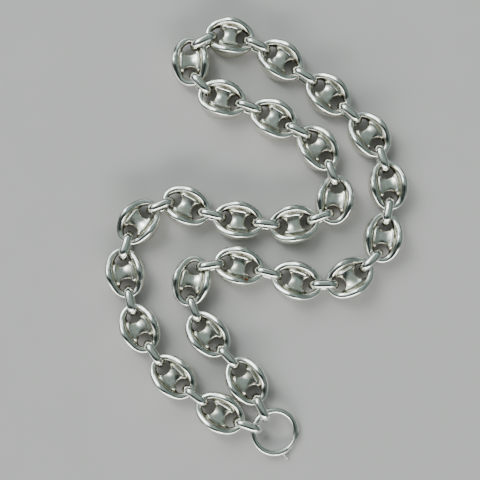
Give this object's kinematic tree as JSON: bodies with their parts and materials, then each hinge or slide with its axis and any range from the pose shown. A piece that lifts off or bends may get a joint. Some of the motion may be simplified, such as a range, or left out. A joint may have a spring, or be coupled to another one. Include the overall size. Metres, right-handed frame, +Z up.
{
  "type": "mariner link chain",
  "caption": "Silver necklace of puffed mariner links joined by small oval wire links and closed by a spring ring clasp, lying in a folded loop.",
  "frame": {"origin": "middle of the bounding box in plan, on the surface that the chain lies on", "axes": "+Z up from that surface, +Y from the clasp towards the far fold of the loop, +X to the right of it seen from above"},
  "size_m": [0.0938, 0.1376, 0.0075],
  "materials": {
    "silver_link": "worn polish with tarnish in the recesses",
    "silver_wire": "worn polish",
    "clasp_silver": "worn polish",
    "bolt_silver": "dull, tarnished"
  },
  "bodies": {
    "chain": {"puffed_link_01": "silver_link", "puffed_link_02": "silver_link", "puffed_link_03": "silver_link", "puffed_link_04": "silver_link", "puffed_link_05": "silver_link", "puffed_link_06": "silver_link", "puffed_link_07": "silver_link", "puffed_link_08": "silver_link", "puffed_link_09": "silver_link", "puffed_link_10": "silver_link", "puffed_link_11": "silver_link", "puffed_link_12": "silver_link", "puffed_link_13": "silver_link", "puffed_link_14": "silver_link", "puffed_link_15": "silver_link", "puffed_link_16": "silver_link", "puffed_link_17": "silver_link", "puffed_link_18": "silver_link", "puffed_link_19": "silver_link", "puffed_link_20": "silver_link", "puffed_link_21": "silver_link", "puffed_link_22": "silver_link", "puffed_link_23": "silver_link", "puffed_link_24": "silver_link", "puffed_link_25": "silver_link", "connector_01": "silver_wire", "connector_02": "silver_wire", "connector_03": "silver_wire", "connector_04": "silver_wire", "connector_05": "silver_wire", "connector_06": "silver_wire", "connector_07": "silver_wire", "connector_08": "silver_wire", "connector_09": "silver_wire", "connector_10": "silver_wire", "connector_11": "silver_wire", "connector_12": "silver_wire", "connector_13": "silver_wire", "connector_14": "silver_wire", "connector_15": "silver_wire", "connector_16": "silver_wire", "connector_17": "silver_wire", "connector_18": "silver_wire", "connector_19": "silver_wire", "connector_20": "silver_wire", "connector_21": "silver_wire", "connector_22": "silver_wire", "connector_23": "silver_wire", "connector_24": "silver_wire", "connector_25": "silver_wire", "connector_26": "silver_wire", "clasp_ring": "clasp_silver"},
    "bolt": {"clasp_bolt": "bolt_silver"}
  },
  "joints": [
    {"name": "bolt_slide", "type": "hinge", "parent": "chain", "child": "bolt", "pos_m": [0.00529, -0.06053, 0.00226], "axis": [-0.1591, 0.1114, -0.9809], "range_deg": [0, 40], "stiffness_Nm_per_rad": 0.004, "springref_deg": -11.46}
  ]
}
